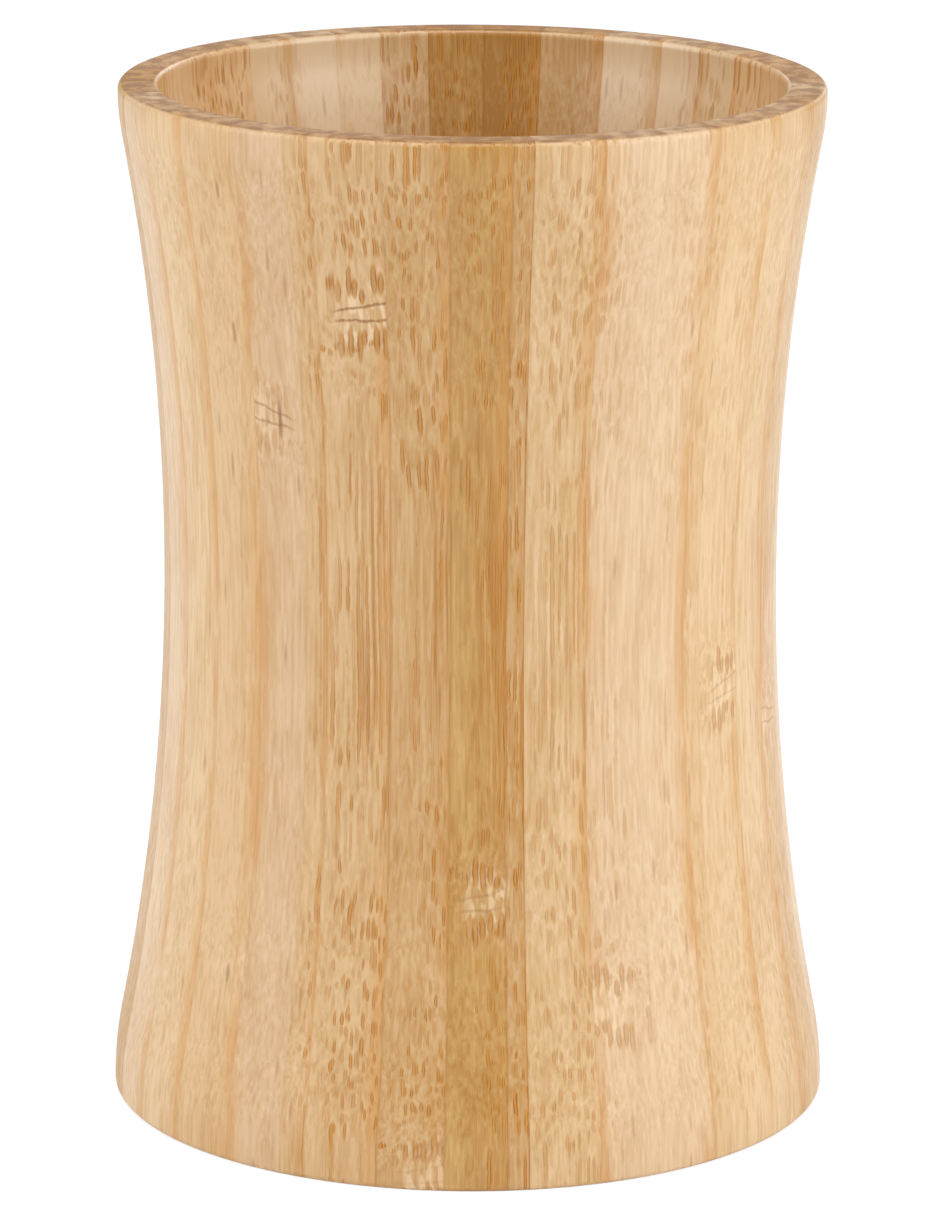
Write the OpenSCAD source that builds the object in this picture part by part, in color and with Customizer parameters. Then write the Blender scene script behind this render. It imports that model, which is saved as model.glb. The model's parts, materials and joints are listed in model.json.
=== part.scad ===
// Waisted bamboo tumbler: a ring of glued bamboo staves, turned to a waisted wall of even
// thickness, round a floor glued up from strips and set into a seat cut from below.
// Millimetres, +Z up. The origin is the centre of the foot, on the surface it stands on.

/* [Cup] */
// Height from the foot to the rim
height = 110; // [96:1:124]
// Outside radius at the waist, the narrowest place
waist_r = 32.75; // [29:0.05:37]
// How far the foot stands out past the waist, on the radius
foot_flare = 5.7; // [3:0.05:8]
// How far the rim stands out past the waist, on the radius
lip_flare = 4.55; // [2.5:0.05:7]
// Height of the waist above the foot
waist_h = 58.6; // [52:0.2:66]
// Thickness of the turned wall, square to its surface
wall = 4.2; // [3.2:0.1:5]

/* [Turned ends] */
// Radius of the convex curve that brings the wall upright at the foot
foot_ease_r = 38; // [24:1:56]
// Radius of the convex curve that brings the wall upright at the rim
lip_ease_r = 25; // [16:1:44]
// Height of the upright band at the foot
foot_land = 0.7; // [0.6:0.1:3]
// Height of the upright band at the rim
lip_land = 0.95; // [0.9:0.05:3]
// Rounding of both edges of the rim
rim_round_r = 0.7; // [0.3:0.1:0.9]
// Rounding of both edges of the foot
foot_round_r = 0.6; // [0.3:0.1:0.6]

/* [Staves] */
// Number of staves round the wall
staves = 35; // [26:1:40]
// Direction of the joint where the first stave starts, in degrees
first_joint_angle = -154.7; // [-180:0.1:180]

/* [Floor] */
// Thickness of the floor board
floor_t = 6; // [4:0.5:9]
// Height of the floor's underside above the foot
floor_recess = 1.2; // [0.6:0.1:3]
// How far the floor's seat is cut into the wall's inner face
seat_depth = 0.5; // [0.4:0.1:1]
// Glue gap round the floor's edge
floor_gap = 0.1; // [0.05:0.05:0.2]
// Number of strips in the floor board
floor_strips = 9; // [5:2:13]

/* [Hidden] */
$fn = 180;
// Width of each stave as a share of an even one, in order round the wall
stave_width_shares = [
    0.97, 0.99, 0.87, 0.36, 1.02, 0.89, 0.83, 0.28, 0.96, 0.90, 0.86, 0.33,
    0.96, 0.92, 0.90, 0.96, 0.83, 0.88, 0.83, 0.88, 0.78, 1.07, 1.05, 0.92,
    0.89, 0.78, 0.75, 0.83, 0.84, 0.95, 0.96, 0.96, 0.96, 0.94, 0.93
];
// Straw, honey, cream and wheat tones that the strips are picked from
tones = ["#dcb98a", "#c4985f", "#e3c49c", "#d0a872"];
// Tone of each stave, in order round the wall, counted from zero in the list of tones
stave_tone_picks = [
    0, 3, 2, 3, 3, 3, 1, 3, 0, 2, 2, 3, 0, 0, 3, 2, 0, 3,
    0, 0, 2, 2, 3, 1, 1, 3, 0, 2, 0, 0, 3, 0, 1, 0, 2
];
// Outside radius of the foot and of the rim
foot_r = waist_r + foot_flare;
lip_r = waist_r + lip_flare;
// Overrun of a cut past the face it starts from
overrun = 1;
// Top of the floor, which is also the shoulder of its seat
floor_top = floor_recess + floor_t;
// Radius of the floor's seat, and of the floor board that drops into it
seat_r = foot_r - wall + seat_depth;
floor_r = seat_r - floor_gap;
// Width of one strip of the floor board
strip_w = 2 * floor_r / floor_strips;
// Angle of one share of stave width, which closes the ring whatever the shares are
share_angle = 360 / width_up_to(staves);

function stave_name(k) = str("stave_", k < 10 ? "0" : "", k);
function strip_name(k) = str("floor_strip_", k);
// Tone of stave k
function stave_tone(k) = tones[stave_tone_picks[(k - 1) % len(stave_tone_picks)]];
// Share of stave k, and the shares of the first k staves added up
function width_share(k) = stave_width_shares[(k - 1) % len(stave_width_shares)];
function width_up_to(k) = k == 0 ? 0 : width_up_to(k - 1) + width_share(k);
// Radius of the sweep that leaves the waist upright and runs into the ease curve of an end
function sweep_r(flare, rise, ease_r) = (flare * flare + rise * rise) / (2 * flare) - ease_r;

// Ring of the wall's thickness, inside a circle of radius r
module ring_inside(r) {
    difference() {
        circle(r);
        circle(r - wall);
    }
}

// Half of the wall's section, from the waist at zero up to one end
module half_section(flare, end_h, ease_r, land) {
    end_r = waist_r + flare;
    rise = end_h - land;
    sweep = sweep_r(flare, rise, ease_r);
    sweep_centre = [waist_r + sweep, 0];
    ease_centre = [end_r - ease_r, rise];
    intersection() {
        translate(sweep_centre) ring_inside(sweep + wall);
        polygon([sweep_centre, ease_centre, [ease_centre.x, 0]]);
    }
    intersection() {
        translate(ease_centre) ring_inside(ease_r);
        polygon([ease_centre, sweep_centre, [sweep_centre.x, rise]]);
    }
    translate([end_r - wall, rise]) square([wall, land]);
}

// What a rounding of radius r takes off a corner, drawn about the rounding's centre
module corner_waste(r) {
    difference() {
        square(r + overrun);
        circle(r);
    }
}

// Section of the finished wall: turned inside and out, rounded, with the seat for the floor
module wall_section() {
    difference() {
        translate([0, waist_h]) {
            half_section(lip_flare, height - waist_h, lip_ease_r, lip_land);
            mirror([0, 1]) half_section(foot_flare, waist_h, foot_ease_r, foot_land);
        }
        translate([lip_r - rim_round_r, height - rim_round_r]) corner_waste(rim_round_r);
        translate([lip_r - wall + rim_round_r, height - rim_round_r])
            mirror([1, 0]) corner_waste(rim_round_r);
        translate([0, -overrun]) square([seat_r, floor_top + overrun]);
        translate([foot_r - foot_round_r, foot_round_r])
            mirror([0, 1]) corner_waste(foot_round_r);
        translate([seat_r + foot_round_r, foot_round_r])
            mirror([1, 0]) mirror([0, 1]) corner_waste(foot_round_r);
    }
}

// One stave: the slice of the turned wall between two glued joints
module stave(k) {
    color(stave_tone(k))
        rotate(first_joint_angle + share_angle * width_up_to(k - 1))
            rotate_extrude(angle = share_angle * width_share(k)) wall_section();
}

// One strip of the round floor board, lying front to back
module floor_strip(k) {
    color(tones[k * 3 % len(tones)]) translate([0, 0, floor_recess]) intersection() {
        cylinder(r = floor_r, h = floor_t);
        translate([strip_w * (k - 1) - floor_r, -floor_r, 0]) cube([strip_w, 2 * floor_r, floor_t]);
    }
}

for (k = [1:staves]) stave(k);
for (k = [1:floor_strips]) floor_strip(k);
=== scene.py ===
# %% [markdown]
# # A turned bamboo cup
# The cup is a waisted tumbler. Its wall is a ring of narrow bamboo staves, glued edge to edge and
# then turned on a lathe, inside and out. A round board of bamboo strips closes it near the foot.
# Nothing on it moves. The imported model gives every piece's place; this lesson gives each piece a
# smooth turned form, the grain of real bamboo and a satin lacquer, and then lights it.

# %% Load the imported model
import json
import math
import random
from types import SimpleNamespace

import bmesh
import bpy
from mathutils import Matrix, Vector


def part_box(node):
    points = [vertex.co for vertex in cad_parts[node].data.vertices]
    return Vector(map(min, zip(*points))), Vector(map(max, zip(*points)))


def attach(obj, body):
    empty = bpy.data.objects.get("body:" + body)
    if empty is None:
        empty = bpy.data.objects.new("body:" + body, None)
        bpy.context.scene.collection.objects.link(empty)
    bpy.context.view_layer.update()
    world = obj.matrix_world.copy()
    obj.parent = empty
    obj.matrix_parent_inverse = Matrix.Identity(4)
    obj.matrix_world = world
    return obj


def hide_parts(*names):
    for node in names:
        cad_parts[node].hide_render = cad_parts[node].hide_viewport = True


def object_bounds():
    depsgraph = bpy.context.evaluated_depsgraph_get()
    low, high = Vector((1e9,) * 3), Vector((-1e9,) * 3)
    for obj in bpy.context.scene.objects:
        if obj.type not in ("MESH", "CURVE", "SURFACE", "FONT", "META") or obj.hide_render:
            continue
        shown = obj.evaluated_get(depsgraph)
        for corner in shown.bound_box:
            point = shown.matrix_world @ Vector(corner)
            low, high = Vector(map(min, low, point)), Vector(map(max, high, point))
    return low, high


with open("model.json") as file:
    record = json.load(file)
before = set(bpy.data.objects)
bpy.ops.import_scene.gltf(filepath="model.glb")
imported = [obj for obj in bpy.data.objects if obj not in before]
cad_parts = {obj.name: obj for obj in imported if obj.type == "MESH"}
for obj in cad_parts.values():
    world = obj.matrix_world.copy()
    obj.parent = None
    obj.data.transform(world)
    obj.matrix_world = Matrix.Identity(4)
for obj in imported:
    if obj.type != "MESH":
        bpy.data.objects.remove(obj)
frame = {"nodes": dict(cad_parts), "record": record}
cad_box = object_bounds()
MM = 0.001
print("box of the packed model:", [[round(c / MM, 2) for c in corner] for corner in cad_box])

# %% [markdown]
# ## The photographer's view
# The rim and the foot are seen as two ellipses, and their shapes give away the camera: it stood
# about 67 cm away with a long lens, looking down by some 14 degrees. A long lens is why the sides
# of the cup hardly converge.

# %% Place the camera
PHOTO_HEIGHT = 1215
FOCAL_PIXELS = 6424
SENSOR = 36.0
CAMERA_SPOT = Vector((-0.01, -668.2, 223.33)) * MM
LOOK_DOWN = math.radians(14.32)
ROLL = math.radians(0.288)

camera_data = bpy.data.cameras.new("camera")
camera_data.sensor_width = SENSOR
camera_data.lens = FOCAL_PIXELS / PHOTO_HEIGHT * SENSOR
camera = bpy.data.objects.new("camera", camera_data)
bpy.context.scene.collection.objects.link(camera)
tilt = Matrix.Rotation(math.pi / 2 - LOOK_DOWN, 4, "X")
camera.matrix_world = Matrix.Translation(CAMERA_SPOT) @ tilt @ Matrix.Rotation(ROLL, 4, "Z")
bpy.context.scene.camera = camera
print("lens in millimetres:", round(camera_data.lens, 1))

# %% [markdown]
# ## Sizes
# The driving sizes are those of the turner's drawing: a waist, how far the two ends flare past it,
# and the curves that bring the wall upright again at both ends. Heights and the floor's radius are
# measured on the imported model, so that every piece lands where the model has it.

# %% Turner's sizes
WAIST_R = 32.75 * MM
WAIST_H = 58.6 * MM
FOOT_FLARE = 5.7 * MM
RIM_FLARE = 4.55 * MM
WALL = 4.2 * MM
FOOT_EASE_R = 38 * MM
RIM_EASE_R = 25 * MM
FOOT_LAND = 0.7 * MM
RIM_LAND = 0.95 * MM
RIM_ROUND = 0.7 * MM
FOOT_ROUND = 0.6 * MM
SEAT_DEPTH = 0.5 * MM

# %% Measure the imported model
stave_nodes = sorted(name for name in frame["nodes"] if name.startswith("stave"))
strip_nodes = sorted(name for name in frame["nodes"] if name.startswith("floor_strip"))
height = cad_box[1][2]
floor_bottom, floor_top = (corner.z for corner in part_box(strip_nodes[0]))
floor_points = [v.co for name in strip_nodes for v in frame["nodes"][name].data.vertices]
floor_r = max(math.hypot(point.x, point.y) for point in floor_points)
seat_r = WAIST_R + FOOT_FLARE - WALL + SEAT_DEPTH
print(len(stave_nodes), "staves,", len(strip_nodes), "floor strips")
print("height", round(height / MM, 2), "mm, radius of the floor", round(floor_r / MM, 2), "mm")
print("floor from", round(floor_bottom / MM, 2), "to", round(floor_top / MM, 2), "mm high")

# %% [markdown]
# ## Joints
# The glued joints between the staves are upright planes through the cup's axis. A stave is turned
# so that its middle faces along X before its angles are read, because angles that run past 180
# degrees jump to the other end of the scale.


# %% Angles of a stave
def stave_angles(name):
    """First and last angle of a stave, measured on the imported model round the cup's axis."""
    low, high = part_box(name)
    middle = math.atan2(low.y + high.y, low.x + high.x)
    turn = Matrix.Rotation(-middle, 3, "Z")
    turned = [turn @ v.co for v in frame["nodes"][name].data.vertices]
    spread = [math.atan2(point.y, point.x) for point in turned]
    return middle + min(spread), middle + max(spread)


for name in stave_nodes[:3]:
    print(name, "from and to, in degrees:", [round(math.degrees(a), 2) for a in stave_angles(name)])

# %% [markdown]
# ## Selecting by place
# Operators act on what is selected. These helpers start a primitive with nothing else selected and
# pick vertices or faces by where they are, as a hand would with a box select.


# %% Selection helpers
def deselect_all():
    """Leaves edit mode and deselects everything."""
    if bpy.context.object and bpy.context.object.mode != "OBJECT":
        bpy.ops.object.mode_set(mode="OBJECT")
    bpy.ops.object.select_all(action="DESELECT")


def only(piece):
    """Makes one piece the selected and active one."""
    deselect_all()
    piece.select_set(True)
    bpy.context.view_layer.objects.active = piece


def pick(test, kind="VERT"):
    """Selects, in edit mode, the vertices or faces whose centre passes the test."""
    bpy.ops.mesh.select_all(action="DESELECT")
    bpy.ops.mesh.select_mode(type=kind)
    mesh = bmesh.from_edit_mesh(bpy.context.object.data)
    for part in mesh.verts if kind == "VERT" else mesh.faces:
        place = part.co if kind == "VERT" else part.calc_center_median()
        if test(place):
            part.select_set(True)
    mesh.select_flush_mode()
    bmesh.update_edit_mesh(bpy.context.object.data)


print("pieces that loading left selected:", len(bpy.context.selected_objects))

# %% [markdown]
# ## The wall's section
# On the lathe, one template guides the tool. Here the template is drawn the same way: a single
# edge, as long as the wall is thick, starts at the waist and is spun round the centre of the long
# sweep, then round the centre of the curve that brings it upright, and then pushed straight on.
# Both faces of the wall follow, and the wall keeps one thickness. The alternative, a bezier outline,
# would need the inside drawn by hand to keep the wall even.

# %% Draw half of the section
SWEEP_STEPS = 22
EASE_STEPS = 6
# Two points closer than this, in metres, are one
HAIR = 1e-6
SIDEWAYS = (0, 1, 0)


def draw_half(flare, end_height, ease_r, land, side):
    """Spins the waist's edge up (side 1) or down (side -1) to one upright end."""
    rise = end_height - land
    sweep_r = (flare * flare + rise * rise) / (2 * flare) - ease_r
    turn = math.asin(rise / (sweep_r + ease_r)) * side
    sweep_centre = (WAIST_R + sweep_r, 0, WAIST_H)
    ease_centre = (WAIST_R + flare - ease_r, 0, WAIST_H + rise * side)
    pick(lambda p: abs(p.z - WAIST_H) < HAIR)
    bpy.ops.mesh.spin(steps=SWEEP_STEPS, angle=-turn, center=sweep_centre, axis=SIDEWAYS)
    bpy.ops.mesh.spin(steps=EASE_STEPS, angle=turn, center=ease_centre, axis=SIDEWAYS)
    bpy.ops.mesh.extrude_region_move(TRANSFORM_OT_translate={"value": (0, 0, land * side)})
    print("sweep radius", round(sweep_r / MM, 1), "mm, turned by", round(math.degrees(turn), 2), "degrees")


print("faces along each half of the section:", SWEEP_STEPS + EASE_STEPS + 1)

# %% Start at the waist
# A plane as wide as the wall stands on the waist's line, and only its lower edge is kept
deselect_all()
above_waist = (WAIST_R - WALL / 2, 0, WAIST_H + WALL / 2)
bpy.ops.mesh.primitive_plane_add(size=WALL, location=above_waist, rotation=(math.pi / 2, 0, 0))
section = bpy.context.object
section.name = "wall_section"
bpy.ops.object.transform_apply(location=True, rotation=True)
bpy.ops.object.mode_set(mode="EDIT")
pick(lambda p: p.z > WAIST_H + WALL / 2)
bpy.ops.mesh.delete(type="VERT")
draw_half(RIM_FLARE, height - WAIST_H, RIM_EASE_R, RIM_LAND, 1)
draw_half(FOOT_FLARE, WAIST_H, FOOT_EASE_R, FOOT_LAND, -1)
bpy.ops.mesh.select_all(action="SELECT")
bpy.ops.mesh.remove_doubles(threshold=HAIR)

# %% [markdown]
# ## Seat and roundings
# The seat for the floor is a step cut into the inside of the foot: two bisecting cuts and a delete.
# The rim's edges and the foot's edges are then eased with a vertex bevel, which turns a corner of
# the flat section into a quarter round. Those roundings carry the pale lines along the rim.

# %% Cut the seat and round the corners
RIM_SEGMENTS = 6
FOOT_SEGMENTS = 5

bpy.ops.mesh.bisect(plane_co=(0, 0, floor_top), plane_no=(0, 0, 1), threshold=HAIR)
pick(lambda p: p.z < floor_top, "FACE")
bpy.ops.mesh.bisect(plane_co=(seat_r, 0, 0), plane_no=(1, 0, 0), threshold=HAIR)
pick(lambda p: p.z < floor_top and p.x < seat_r, "FACE")
bpy.ops.mesh.delete(type="FACE")
pick(lambda p: p.z > height - HAIR)
bpy.ops.mesh.bevel(offset=RIM_ROUND, segments=RIM_SEGMENTS, affect="VERTICES")
pick(lambda p: p.z < HAIR and (p.x < seat_r + HAIR or p.x > WAIST_R + FOOT_FLARE - HAIR))
bpy.ops.mesh.bevel(offset=FOOT_ROUND, segments=FOOT_SEGMENTS, affect="VERTICES")
bpy.ops.object.mode_set(mode="OBJECT")
radii = [v.co.x / MM for v in section.data.vertices]
print("section:", len(section.data.vertices), "points, radii", round(min(radii), 2), round(max(radii), 2))

# %% [markdown]
# ## Grain notes
# Bamboo's strength is in thin fibre bundles that run along the strip. The turned surface cuts them
# at a slant, which is what draws the dashes on the flared ends and the long lines at the waist. So
# the pattern must be solid, like the wood. Each point of a piece carries notes that the material
# reads. In millimetres they say how far it lies across, into and along its strip, how far from both
# glued sides, and how high the knot is. The rest belong to the piece: where its pattern starts, how
# dark and how figured it is, how strong its knot, scar and glue lines are, its dark flecks, and
# whether the point is on the inner face and how strong the painted warm bounce light is there.

# %% Write notes
SEED_SPACING = 37.3
SEED_SPREAD = 97


def write_notes(piece, **notes):
    """Stores named vectors on a piece: a list with one for each point, or one that all share."""
    for name, vectors in notes.items():
        if not isinstance(vectors, list):
            vectors = [vectors] * len(piece.data.vertices)
        layer = piece.data.attributes.new(name, "FLOAT_VECTOR", "POINT")
        layer.data.foreach_set("vector", [number for vector in vectors for number in vector])


def grain_seed(node):
    """Where the fibre pattern of a piece starts: a different place for each piece."""
    return SEED_SPACING * sum(place * ord(letter) % SEED_SPREAD for place, letter in enumerate(node, 3))


print("pattern of the first stave starts at", round(grain_seed(stave_nodes[0]), 1))

# %% Finish a piece
SMOOTH_ANGLE = math.radians(32)
slots = {row["node"]: row["material_slot"] for row in frame["record"]["subparts"]}
print("material slots:", sorted(set(slots.values())))


def finish_piece(piece, node, scar=0.0, warm=0.0):
    """Smooths a finished piece, turns its faces outwards and hands it to the frame."""
    only(piece)
    bpy.ops.object.mode_set(mode="EDIT")
    bpy.ops.mesh.select_all(action="SELECT")
    bpy.ops.mesh.normals_make_consistent(inside=False)
    bpy.ops.object.mode_set(mode="OBJECT")
    bpy.ops.object.shade_smooth_by_angle(angle=SMOOTH_ANGLE)
    outward = [v.normal.x * v.co.x + v.normal.y * v.co.y for v in piece.data.vertices]
    # The inner face's third number is the strength of its painted warm bounce light
    write_notes(piece, lining=[(1.0, scar, warm) if out < 0 else (0.0, scar, 0.0) for out in outward])
    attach(piece, "root")
    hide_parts(node)


# %% [markdown]
# ## What the photograph shows of each stave
# Strips from many culms are glued up as they come, so each stave has a look of its own. Those that
# the photograph shows are described one by one, the front ones first and then the far inside wall. The
# staves that it doesn't show get a look from dice with a fixed seed, which fall alike in every run.
# - tone: how dark it is within its finish, from 0 to 1, and past 1 for the darkest.
# - figure: how far the bundles spread from the skin side, and how strongly they show.
# - knot: its height in millimetres, its strength, and how dark its two scar lines are.
# - skin: the side where the culm's skin was, seen from outside.
# - glue: how dark the glue lines at its sides are.
# - fleck: the heights of two dark flecks, and how far they lie towards the skin side.
# - warm: how much painted warm bounce light lies inside, standing in for the light the walls throw on each
#   other.

# %% Looks of the seen staves
RIGHT, LEFT = 1, -1
NO_KNOT = (0, 0, 0)
NO_FLECK = (-50.0, -50.0, 0.0)
# Strength of the painted warm bounce light on the inner walls of some staves
PAINTED_BOUNCE = 0.2
seen = {
    "stave_35": dict(tone=0.3, figure=(0.5, 0.2), knot=NO_KNOT),
    "stave_01": dict(tone=0.2, figure=(0.8, 0.3), knot=NO_KNOT),
    "stave_02": dict(tone=0.15, figure=(0.5, 0.3), knot=(19.5, 0.4, 0), skin=RIGHT, fleck=(103.0, 88.0, 1.4)),
    "stave_03": dict(tone=0.6, figure=(0.3, 0.3), knot=(79.5, 0.6, 0.5), skin=LEFT, fleck=(80.5, 78.5, -0.3)),
    "stave_04": dict(tone=0.3, figure=(0.6, 0.8), knot=(9.5, 0.4, 0), skin=RIGHT),
    "stave_05": dict(tone=0.25, figure=(1.05, 1.0), knot=(91.5, 1.0, 0.75), skin=RIGHT, glue=0.15),
    "stave_06": dict(tone=0.5, figure=(0.9, 1.0), knot=(1.5, 0.75, 0.12), skin=RIGHT, glue=0.35),
    "stave_07": dict(tone=0.6, figure=(0.75, 1.0), knot=(30.0, 0.85, 0.28), skin=RIGHT, glue=0.35),
    "stave_08": dict(tone=0.65, figure=(1.1, 1.2), knot=NO_KNOT, skin=RIGHT, glue=0.5),
    "stave_09": dict(tone=0.35, figure=(1.0, 0.65), knot=NO_KNOT, glue=0.15),
    "stave_10": dict(tone=0.3, figure=(0.75, 0.45), knot=(18.0, 0.7, 0), skin=LEFT, glue=0.15),
    "stave_11": dict(tone=0.25, figure=(0.7, 0.35), knot=NO_KNOT),
    "stave_12": dict(tone=0.15, figure=(0.8, 0.45), knot=(58.5, 0.4, 0)),
    "stave_13": dict(tone=0.15, figure=(0.8, 0.4), knot=(49.0, 0.75, 0.25), skin=RIGHT, glue=0.15),
    "stave_14": dict(tone=0.2, figure=(0.8, 0.4), knot=NO_KNOT, glue=0.15),
    "stave_17": dict(warm=PAINTED_BOUNCE),
    "stave_18": dict(tone=0.1, figure=(1.0, 0.9), warm=PAINTED_BOUNCE),
    "stave_19": dict(tone=0.1, figure=(1.0, 0.9), warm=PAINTED_BOUNCE),
    "stave_20": dict(tone=0.0, figure=(0.9, 0.8)),
    "stave_21": dict(tone=0.05, figure=(0.6, 0.5)),
    "stave_22": dict(tone=0.3, figure=(0.5, 0.35)),
    "stave_23": dict(tone=0.8, figure=(0.8, 0.7)),
    "stave_24": dict(tone=1.2, figure=(1.0, 1.1), knot=NO_KNOT, glue=0.4),
    "stave_25": dict(tone=1.0, figure=(1.0, 1.1), knot=NO_KNOT, glue=0.4),
    "stave_26": dict(tone=0.6, figure=(1.2, 1.3), knot=NO_KNOT),
    "stave_27": dict(tone=0.3, figure=(0.5, 0.3)),
    "stave_28": dict(tone=0.15, figure=(0.5, 0.3)),
    "stave_29": dict(tone=0.15, figure=(0.7, 0.6)),
    "stave_30": dict(tone=0.3, figure=(1.0, 1.0), warm=PAINTED_BOUNCE),
    "stave_31": dict(tone=0.0, figure=(1.1, 1.1), warm=PAINTED_BOUNCE),
    "stave_32": dict(tone=0.0, figure=(1.0, 1.0), warm=PAINTED_BOUNCE),
    "stave_33": dict(warm=PAINTED_BOUNCE),
}
print("staves described by hand:", len(seen), "of", len(stave_nodes))

# %% Dice for the rest
dice = random.Random(7)
DRAWN_TONES = (0.15, 0.8)
DRAWN_HEIGHTS = (5, 105)
# Half of the throws give a knot, and the others only the lines of its scar
DRAWN_KNOTS = (0, 0, 0.6, 0.9)
DRAWN_SCAR = 0.4
DRAWN_SPREADS = (0.4, 1.0)
DRAWN_CONTRASTS = (0.3, 0.9)
PLAIN_GLUE = 0.1


def stave_look(name):
    """The look of one stave: as the photograph shows it, and for the rest as the dice fall."""
    noted = seen.get(name, {})
    skin = noted["skin"] if "skin" in noted else (RIGHT if dice.random() < 1 / 2 else LEFT)
    look = {
        "tone": dice.uniform(*DRAWN_TONES),
        "knot": (dice.uniform(*DRAWN_HEIGHTS), dice.choice(DRAWN_KNOTS), DRAWN_SCAR),
        "figure": (dice.uniform(*DRAWN_SPREADS), dice.uniform(*DRAWN_CONTRASTS)),
        "glue": PLAIN_GLUE,
        "fleck": NO_FLECK,
        "warm": 0.0,
    }
    return {**look, **noted, "skin": skin}


print("staves left wholly to the dice:", len(stave_nodes) - len(seen))

# %% [markdown]
# ## Staves
# Each stave is a copy of the section, turned to its first joint and spun round the cup's axis to
# its second. Spinning keeps the turned surface true across every joint, because all the staves
# share one centre. The joints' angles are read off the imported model, so narrow and wide staves
# come out as they are there.


# %% Note the grain of a stave
def note_stave(stave, name, look, start, end):
    """Writes where each point lies in its strip, and the stave's own look."""
    middle, half = (start + end) / 2, (end - start) / 2
    turn = Matrix.Rotation(-middle, 3, "Z")
    points = [turn @ v.co / MM for v in stave.data.vertices]
    skin = look["skin"]
    knot, strength, _ = look["knot"]
    depths = [(p.x * math.sin(half), p.y * skin * math.cos(half)) for p in points]
    write_notes(
        stave,
        grain=[(p.y * skin, p.x, p.z) for p in points],
        joint=[(reach + off, reach - off, knot) for reach, off in depths],
        ply=(grain_seed(name), look["tone"], strength),
        figure=(*look["figure"], look["glue"]),
        fleck=look["fleck"],
    )


first_start, first_end = stave_angles(stave_nodes[0])
print("first stave at the waist:", round((first_end - first_start) * WAIST_R / MM, 2), "mm wide")

# %% Spin the staves
STEP_ANGLE = math.radians(1.1)
FEWEST_STEPS = 3


def spin_stave(name):
    """Makes one stave of the turned wall between its two joints."""
    start, end = stave_angles(name)
    stave = section.copy()
    stave.data = section.data.copy()
    stave.name = name.replace("stave", "turned_stave")
    bpy.context.scene.collection.objects.link(stave)
    stave.data.transform(Matrix.Rotation(start, 4, "Z"))
    only(stave)
    bpy.ops.object.mode_set(mode="EDIT")
    bpy.ops.mesh.select_all(action="SELECT")
    steps = max(FEWEST_STEPS, round((end - start) / STEP_ANGLE))
    bpy.ops.mesh.spin(steps=steps, angle=start - end, center=(0, 0, 0), axis=(0, 0, 1))
    bpy.ops.object.mode_set(mode="OBJECT")
    look = stave_look(name)
    note_stave(stave, name, look, start, end)
    finish_piece(stave, name, look["knot"][2], look["warm"])
    return stave


staves = [spin_stave(name) for name in stave_nodes]
print("staves:", len(staves), "with", sum(len(s.data.polygons) for s in staves), "faces")
bpy.data.objects.remove(section)

# %% [markdown]
# ## Floor strips
# The floor is a disc sawn from a board of edge-glued strips. Each strip is a slice of one disc
# between two upright cuts, its round edge lightly broken so that it drops into its seat.

# %% Slice the floor board
DISC_SIDES = 256
EDGE_BREAK = 0.2 * MM
# A side that stands this close to the disc's edge needs no cut
EDGE_SLACK = 0.1 * MM
STRIP_TONES = (0.2, 0.7)
STRIP_SPREADS = (0.4, 1.0)
STRIP_CONTRASTS = (0.3, 0.7)
STRIP_GLUE = 0.3


def slice_disc(low, high):
    """Makes the slice of the floor disc between two upright cuts."""
    deselect_all()
    bpy.ops.mesh.primitive_cylinder_add(vertices=DISC_SIDES, radius=floor_r, depth=floor_top - floor_bottom,
                                        location=(0, 0, (floor_top + floor_bottom) / 2))
    bpy.ops.object.transform_apply(location=True)
    bpy.ops.object.mode_set(mode="EDIT")
    bpy.ops.mesh.select_all(action="SELECT")
    bpy.ops.mesh.bevel(offset=EDGE_BREAK, segments=2, affect="EDGES")
    for place, direction in ((low, 1), (high, -1)):
        if abs(place) > floor_r - EDGE_SLACK:
            continue
        bpy.ops.mesh.select_all(action="SELECT")
        bpy.ops.mesh.bisect(plane_co=(place, 0, 0), plane_no=(direction, 0, 0), threshold=HAIR,
                            use_fill=True, clear_inner=True)
    bpy.ops.object.mode_set(mode="OBJECT")
    return bpy.context.object


def cut_strip(name):
    """Makes one strip of the floor board, with its grain running front to back."""
    low, high = (corner.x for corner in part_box(name))
    strip = slice_disc(low, high)
    strip.name = name.replace("floor_strip", "floor_board_strip")
    left, right = low / MM, high / MM
    middle = (low + high) / 2 / MM
    points = [v.co / MM for v in strip.data.vertices]
    write_notes(
        strip,
        grain=[(p.x - middle, p.z, p.y) for p in points],
        joint=[(p.x - left, right - p.x, 0) for p in points],
        ply=(grain_seed(name), dice.uniform(*STRIP_TONES), 0),
        figure=(dice.uniform(*STRIP_SPREADS), dice.uniform(*STRIP_CONTRASTS), STRIP_GLUE),
        fleck=NO_FLECK,
    )
    finish_piece(strip, name)
    return strip


strips = [cut_strip(name) for name in strip_nodes]
print("floor strips:", len(strips), "with", sum(len(s.data.polygons) for s in strips), "faces")

# %% [markdown]
# ## Colours and nodes
# Colours are written as the hex values that an eye would pick from a screen, and turned to the
# linear values that light works in. One small function adds a node with its settings and links:
# "Math ADD" is the Math node with ADD picked in its drop-down, and "Attribute grain" reads the note
# of that name. The node used most eases one range of values into another. Its ranges have names
# below: two numbers say from where to where it reads, and two more, if any, what it gives there.


# %% Colour and node helpers
def linear(hex_colour):
    """Turns an sRGB hex colour into linear red, green, blue and alpha."""
    parts = [int(hex_colour[i:i + 2], 16) / 255 for i in (1, 3, 5)]
    return [c / 12.92 if c <= 0.04045 else ((c + 0.055) / 1.055) ** 2.4 for c in parts] + [1.0]


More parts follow.
